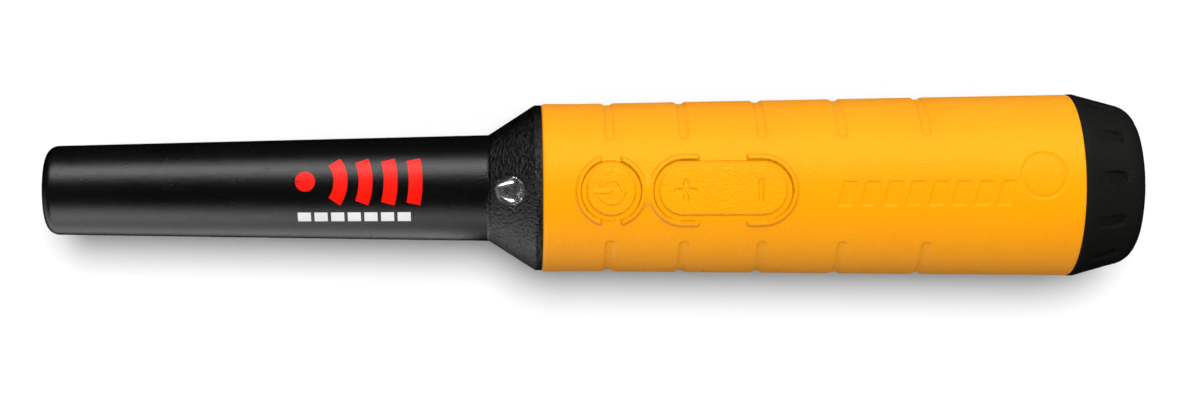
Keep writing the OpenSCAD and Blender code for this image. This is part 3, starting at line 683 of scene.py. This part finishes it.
def arc_sheet(centre_s, centre_t, r0, r1, half_angle):
    """A print between two radii, or a full round dot when r0 is zero."""
    radii = np.linspace(max(r0, 0.01), r1, 6)
    angles = np.linspace(-half_angle, half_angle, max(24, int(2 * half_angle * r1 / 0.4)))
    rr, aa = np.meshgrid(radii, angles, indexing="ij")
    return print_sheet(centre_s + rr * np.cos(aa), centre_t + rr * np.sin(aa))


def block_sheet(s0, s1, t0, t1):
    """A plain rectangular print."""
    return print_sheet(*np.meshgrid(np.linspace(s0, s1, 12), np.linspace(t0, t1, 10), indexing="ij"))


def build_prints():
    """A red dot with four arcs, and a row of plain white blocks under them."""
    dot_s, dot_t, dot_r = 60.2, 2.2, 2.3
    arc_width, arc_reach = 3.2, 5.6
    signs = [arc_sheet(dot_s, dot_t, 0, dot_r, math.pi)]
    for inner_r in (6.5, 12.2, 17.9, 23.6):
        outer_r = inner_r + arc_width
        signs.append(arc_sheet(dot_s, dot_t, inner_r, outer_r, math.asin(arc_reach / outer_r)))
    signal = join_parts("signal_print", *signs)
    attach(signal, "probe")
    starts = [58.4 + 3.8 * i for i in range(7)]
    blocks = [block_sheet(s, s + 3.0, -7.5, -5.1) for s in starts]
    scale = join_parts("scale_print", *blocks)
    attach(scale, "probe")
    return signal, scale


# ---- Materials ----

def new_material(name):
    m = bpy.data.materials.new(name)
    m.use_nodes = True
    m.node_tree.nodes.clear()
    shader = m.node_tree.nodes.new("ShaderNodeBsdfPrincipled")
    output = m.node_tree.nodes.new("ShaderNodeOutputMaterial")
    m.node_tree.links.new(shader.outputs[0], output.inputs["Surface"])
    return m, shader


class Weave:
    """Short ways to add and link nodes in one material."""

    def __init__(self, material):
        self.tree = material.node_tree
        self.coords = self.tree.nodes.new("ShaderNodeTexCoord").outputs["Object"]

    def link(self, source, target):
        self.tree.links.new(source, target)

    def noise(self, per_metre, detail=3.0, roughness=0.5, stretch=None):
        n = self.tree.nodes.new("ShaderNodeTexNoise")
        n.inputs["Scale"].default_value = per_metre
        n.inputs["Detail"].default_value = detail
        n.inputs["Roughness"].default_value = roughness
        source = self.coords
        if stretch:
            mapping = self.tree.nodes.new("ShaderNodeMapping")
            mapping.inputs["Scale"].default_value = stretch
            self.link(source, mapping.inputs["Vector"])
            source = mapping.outputs[0]
        self.link(source, n.inputs["Vector"])
        return n.outputs["Fac"]

    def ramp(self, source, low, high, out_low=0.0, out_high=1.0):
        r = self.tree.nodes.new("ShaderNodeMapRange")
        r.inputs["From Min"].default_value = low
        r.inputs["From Max"].default_value = high
        r.inputs["To Min"].default_value = out_low
        r.inputs["To Max"].default_value = out_high
        self.link(source, r.inputs["Value"])
        return r.outputs["Result"]

    def math(self, kind, a, b):
        m = self.tree.nodes.new("ShaderNodeMath")
        m.operation = kind
        for socket, value in zip(m.inputs, (a, b)):
            if isinstance(value, (int, float)):
                socket.default_value = value
            else:
                self.link(value, socket)
        return m.outputs[0]

    def mix_colour(self, factor, first, second):
        m = self.tree.nodes.new("ShaderNodeMix")
        m.data_type = "RGBA"
        m.inputs["A"].default_value = (*first, 1)
        m.inputs["B"].default_value = (*second, 1)
        self.link(factor, m.inputs["Factor"])
        return m.outputs["Result"]

    def axis(self, name):
        split = self.tree.nodes.new("ShaderNodeSeparateXYZ")
        self.link(self.coords, split.inputs[0])
        return split.outputs[name]

    def bump(self, height, distance, strength, under=None):
        b = self.tree.nodes.new("ShaderNodeBump")
        b.inputs["Distance"].default_value = distance
        b.inputs["Strength"].default_value = strength
        self.link(height, b.inputs["Height"])
        if under:
            self.link(under, b.inputs["Normal"])
        return b.outputs[0]


def moulded(name, colour, lighter, roughness, grain_per_metre, grain_height, strength=0.6, spread=0.08):
    """Moulded rubber or plastic: a fine grain, slow colour changes and uneven gloss."""
    m, shader = new_material(name)
    w = Weave(m)
    slow = w.noise(35, 4)
    shader_colour = w.mix_colour(w.ramp(slow, 0.3, 0.7), colour, lighter)
    w.link(shader_colour, shader.inputs["Base Color"])
    uneven = w.noise(260, 5, 0.6)
    w.link(w.ramp(uneven, 0.3, 0.7, roughness - spread, roughness + spread), shader.inputs["Roughness"])
    grain = w.noise(grain_per_metre, 2, 0.55)
    w.link(w.bump(grain, grain_height * MM, strength), shader.inputs["Normal"])
    return m, shader, w


def warm_gloss(shader):
    """Rubber with a warm, weak gloss."""
    shader.inputs["Specular Tint"].default_value = (1.0, 0.78, 0.22, 1)


def grip_material():
    m, shader, _ = moulded("grip_rubber", (1.0, 0.352, 0.0), (1.0, 0.372, 0.0), 0.42, 2400, 0.16, 1.0, 0.05)
    warm_gloss(shader)
    return m


def key_material():
    m, shader, _ = moulded("key_rubber", (1.0, 0.36, 0.0), (1.0, 0.385, 0.0), 0.52, 1300, 0.4, 1.0)
    warm_gloss(shader)
    return m


def web_material():
    m, shader, _ = moulded("web_rubber", (1.0, 0.345, 0.0), (1.0, 0.365, 0.0), 0.52, 2400, 0.08, 0.6)
    warm_gloss(shader)
    return m


def housing_material():
    m, shader = new_material("housing_plastic")
    w = Weave(m)
    slow = w.noise(45, 4)
    w.link(w.mix_colour(w.ramp(slow, 0.3, 0.7), (0.002, 0.002, 0.0019), (0.0035, 0.0035, 0.0034)),
           shader.inputs["Base Color"])
    uneven = w.noise(420, 5, 0.6)
    w.link(w.ramp(uneven, 0.3, 0.7, 0.2, 0.28), shader.inputs["Roughness"])
    fine = w.noise(3200, 2, 0.5)
    pebble = w.noise(1600, 2, 0.55)
    seam_x = TIP_X + SHOULDER_S * MM
    on_shoulder = w.ramp(w.axis("X"), seam_x - 0.0004, seam_x + 0.0004)
    on_nose = w.math("SUBTRACT", 1.0, on_shoulder)
    nose_grain = w.math("MULTIPLY", on_nose, w.math("MULTIPLY", fine, 0.13))
    height = w.math("ADD", nose_grain, w.math("MULTIPLY", on_shoulder, pebble))
    w.link(w.bump(height, 0.6 * MM, 1.0), shader.inputs["Normal"])
    return m


def cap_material():
    dark, light = (0.0058, 0.0058, 0.005), (0.0085, 0.0085, 0.0074)
    m, shader, _ = moulded("cap_plastic", dark, light, 0.6, 2000, 0.3, 1.0)
    shader.inputs["Specular IOR Level"].default_value = 0.1
    return m


def clear_material():
    m, shader = new_material("clear_plastic")
    w = Weave(m)
    shader.inputs["Base Color"].default_value = (0.96, 0.98, 0.99, 1)
    shader.inputs["Transmission Weight"].default_value = 0.985
    shader.inputs["IOR"].default_value = 1.5
    w.link(w.ramp(w.noise(700, 4), 0.3, 0.7, 0.0, 0.03), shader.inputs["Roughness"])
    return m


def print_material(name, colour):
    m, shader = new_material(name)
    w = Weave(m)
    darker = tuple(c * 0.9 for c in colour)
    w.link(w.mix_colour(w.ramp(w.noise(300, 4), 0.3, 0.7), colour, darker), shader.inputs["Base Color"])
    w.link(w.ramp(w.noise(500, 4), 0.3, 0.7, 0.25, 0.4), shader.inputs["Roughness"])
    w.link(w.bump(w.noise(3600, 2), 0.03 * MM, 0.4), shader.inputs["Normal"])
    shader.inputs["Specular IOR Level"].default_value = 0.25
    return m


def metal_material(name, colour, roughness, brushed=(1, 1, 1)):
    m, shader = new_material(name)
    w = Weave(m)
    shader.inputs["Metallic"].default_value = 1.0
    darker = tuple(c * 0.85 for c in colour)
    w.link(w.mix_colour(w.ramp(w.noise(160, 4), 0.3, 0.7), colour, darker), shader.inputs["Base Color"])
    w.link(w.ramp(w.noise(900, 4, 0.6, brushed), 0.3, 0.7, roughness * 0.7, roughness * 1.3),
           shader.inputs["Roughness"])
    w.link(w.bump(w.noise(3000, 2, 0.5, brushed), 0.01 * MM, 0.3), shader.inputs["Normal"])
    return m


def winding_material():
    m, shader = new_material("enamelled_copper")
    w = Weave(m)
    wave = w.tree.nodes.new("ShaderNodeTexWave")
    wave.bands_direction = "X"
    wave.inputs["Scale"].default_value = 1100
    wave.inputs["Distortion"].default_value = 0.4
    w.link(w.coords, wave.inputs["Vector"])
    # The copper is painted darker in the wave's low bands, which are the bump's grooves: painted shade
    # between the turns of wire.
    copper_with_painted_groove_shade = w.mix_colour(wave.outputs["Fac"], (0.22, 0.05, 0.012), (0.7, 0.26, 0.09))
    w.link(copper_with_painted_groove_shade, shader.inputs["Base Color"])
    shader.inputs["Metallic"].default_value = 0.9
    w.link(w.ramp(w.noise(600), 0.3, 0.7, 0.22, 0.4), shader.inputs["Roughness"])
    w.link(w.bump(wave.outputs["Fac"], 0.08 * MM, 0.8), shader.inputs["Normal"])
    return m


def board_material():
    m, shader = new_material("circuit_board")
    w = Weave(m)
    brick = w.tree.nodes.new("ShaderNodeTexBrick")
    brick.inputs["Scale"].default_value = 320
    brick.inputs["Mortar Size"].default_value = 0.03
    brick.inputs["Color1"].default_value = (0.01, 0.10, 0.04, 1)
    brick.inputs["Color2"].default_value = (0.012, 0.13, 0.05, 1)
    brick.inputs["Mortar"].default_value = (0.03, 0.2, 0.08, 1)
    w.link(w.coords, brick.inputs["Vector"])
    w.link(brick.outputs["Color"], shader.inputs["Base Color"])
    w.link(w.ramp(w.noise(500), 0.3, 0.7, 0.25, 0.4), shader.inputs["Roughness"])
    w.link(w.bump(brick.outputs["Fac"], 0.03 * MM, 0.5), shader.inputs["Normal"])
    return m


def plain_plastic(name, colour, roughness=0.4, grain=2500):
    lighter = tuple(min(1, c * 1.15 + 0.002) for c in colour)
    return moulded(name, colour, lighter, roughness, grain, 0.04, 0.5)[0]


def slot_materials():
    return {
        "housing_plastic": housing_material(),
        "grip_rubber": grip_material(),
        "key_rubber": key_material(),
        "web_rubber": web_material(),
        "cap_plastic": cap_material(),
        "clear_plastic": clear_material(),
        "seal_rubber": plain_plastic("seal_rubber", (0.012, 0.012, 0.012), 0.35),
        "foam": plain_plastic("foam", (0.07, 0.075, 0.08), 0.85, 900),
        "ferrite": plain_plastic("ferrite", (0.035, 0.033, 0.031), 0.5, 1200),
        "bobbin_plastic": plain_plastic("bobbin_plastic", (0.66, 0.6, 0.48), 0.45),
        "enamelled_copper": winding_material(),
        "wire_red": plain_plastic("wire_red", (0.5, 0.02, 0.015), 0.35),
        "wire_black": plain_plastic("wire_black", (0.012, 0.012, 0.012), 0.35),
        "wire_blue": plain_plastic("wire_blue", (0.02, 0.07, 0.35), 0.35),
        "chassis_plastic": plain_plastic("chassis_plastic", (0.018, 0.02, 0.022), 0.5),
        "circuit_board": board_material(),
        "chip_plastic": plain_plastic("chip_plastic", (0.012, 0.012, 0.014), 0.55),
        "capacitor_sleeve": metal_material("capacitor_sleeve", (0.55, 0.57, 0.6), 0.3),
        "connector_plastic": plain_plastic("connector_plastic", (0.72, 0.68, 0.58), 0.4),
        "plated_steel": metal_material("plated_steel", (0.6, 0.61, 0.63), 0.3, (1, 6, 6)),
        "bright_metal": metal_material("bright_metal", (0.86, 0.85, 0.82), 0.3),
        "weight_metal": metal_material("weight_metal", (0.45, 0.36, 0.22), 0.35),
        "paper_cone": plain_plastic("paper_cone", (0.02, 0.02, 0.023), 0.7, 900),
        "battery_jacket": plain_plastic("battery_jacket", (0.03, 0.05, 0.08), 0.35),
        "print_red": print_material("print_red", (0.9, 0.006, 0.0)),
        "print_white": print_material("print_white", (0.85, 0.85, 0.85)),
    }


# ---- Put it together ----

pieces = {
    "grip_rubber": [build_grip()],
    "housing_plastic": [build_housing()],
    "cap_plastic": [build_cap()],
    "key_rubber": [
        build_key("power_key_pad", "power_key", "power_button", POWER_S, POWER_D, POWER_D,
                  power_relief, 0.8, [POWER_S]),
        build_key("sensitivity_key_pad", "sensitivity_key", "sensitivity_rocker", ROCKER_S, ROCKER_LONG,
                  ROCKER_WIDE, rocker_relief, 1.05, [ROCKER_S - ROCKER_ARM, ROCKER_S + ROCKER_ARM]),
    ],
    "web_rubber": [
        build_web("power_key_surround", "power_key_web", POWER_S, POWER_D, POWER_D),
        build_web("sensitivity_key_surround", "sensitivity_key_web", ROCKER_S, ROCKER_LONG, ROCKER_WIDE),
    ],
    "clear_plastic": [build_lens()],
}
red_print, white_print = build_prints()
pieces["print_red"] = [red_print]
pieces["print_white"] = [white_print]

# Every piece and CAD node gets its slot's material.
materials = slot_materials()
for slot, members in pieces.items():
    for piece in members:
        piece.data.materials.clear()
        piece.data.materials.append(materials[slot])
for entry in frame["record"]["subparts"]:
    node = nodes[entry["node"]]
    node.data.materials.clear()
    node.data.materials.append(materials[entry["material_slot"]])

# The orange rubber doesn't tint the floor.
for slot in ("grip_rubber", "key_rubber", "web_rubber"):
    for piece in pieces[slot]:
        piece.visible_diffuse = False


# ---- Floor and light ----

def build_floor():
    """A plain, nearly white floor that doesn't show in gloss."""
    reach = 3.0
    corners = [(-reach, -reach, 0), (reach, -reach, 0), (reach, reach, 0), (-reach, reach, 0)]
    mesh = bpy.data.meshes.new("floor")
    mesh.from_pydata(corners, [], [(0, 1, 2, 3)])
    floor = bpy.data.objects.new("floor", mesh)
    bpy.context.scene.collection.objects.link(floor)
    m, shader = new_material("floor")
    shader.inputs["Base Color"].default_value = (0.99, 0.99, 0.99, 1)
    shader.inputs["Roughness"].default_value = 0.9
    shader.inputs["Specular IOR Level"].default_value = 0.1
    mesh.materials.append(m)
    floor.visible_glossy = False


def soft_light(name, spot, size, power, gloss=True, diffuse=True):
    """A rectangular softbox that faces the probe."""
    data = bpy.data.lights.new(name, "AREA")
    data.shape = "RECTANGLE"
    data.size, data.size_y = size
    data.energy = power
    light = bpy.data.objects.new(name, data)
    light.location = spot
    light.rotation_euler = (Vector((0, 0, 0.02)) - Vector(spot)).to_track_quat("-Z", "Y").to_euler()
    light.visible_glossy = gloss
    light.visible_diffuse = diffuse
    light.visible_camera = False
    bpy.context.scene.collection.objects.link(light)
    return light


def overhead_light():
    """A wide, even light from just beyond the zenith, which whitens the floor and keeps shadows short."""
    data = bpy.data.lights.new("overhead", "SUN")
    data.energy = 2.72
    data.angle = math.radians(31)
    light = bpy.data.objects.new("overhead", data)
    light.rotation_euler = (Vector((0, -0.24, -1.0))).to_track_quat("-Z", "Y").to_euler()
    light.visible_glossy = False
    light.visible_camera = False
    bpy.context.scene.collection.objects.link(light)


def probe_collection():
    """Everything but the floor, for the light that falls on the probe alone."""
    collection = bpy.data.collections.new("probe_pieces")
    for piece in bpy.data.objects:
        if piece.type == "MESH" and piece.name != "floor":
            collection.objects.link(piece)
    return collection


def build_world():
    """A white room that the camera sees in full and that lights the probe dimly."""
    world = bpy.data.worlds.new("studio")
    bpy.context.scene.world = world
    world.use_nodes = True
    tree = world.node_tree
    background = tree.nodes["Background"]
    background.inputs["Color"].default_value = (1, 1, 1, 1)
    path = tree.nodes.new("ShaderNodeLightPath")
    strength = tree.nodes.new("ShaderNodeMapRange")
    strength.inputs["To Min"].default_value = 0.27
    strength.inputs["To Max"].default_value = 1.05
    tree.links.new(path.outputs["Is Camera Ray"], strength.inputs["Value"])
    tree.links.new(strength.outputs["Result"], background.inputs["Strength"])
    world.cycles_visibility.glossy = False


def build_lights():
    """Softboxes seen only in gloss, fills seen only in diffuse, and a low card for the nose's lower side."""
    soft_light("far_softbox", (0.0, 0.78, 0.66), (1.7, 0.45), 11.0, diffuse=False)
    fill = soft_light("far_fill", (0.0, 0.78, 0.66), (1.7, 0.8), 6.0, gloss=False)
    fill.light_linking.receiver_collection = probe_collection()
    soft_light("near_softbox", (-0.4, -0.95, 0.42), (0.7, 0.75), 4.4, diffuse=False)
    overhead_light()
    card = soft_light("bounce_card", (-0.36, -0.43, 0.002), (0.66, 0.8), 2.2, diffuse=False)
    card.rotation_euler = (math.pi, 0, 0)
    view = bpy.context.scene.view_settings
    view.view_transform = "Standard"
    view.look = "None"


build_world()
build_floor()
build_lights()
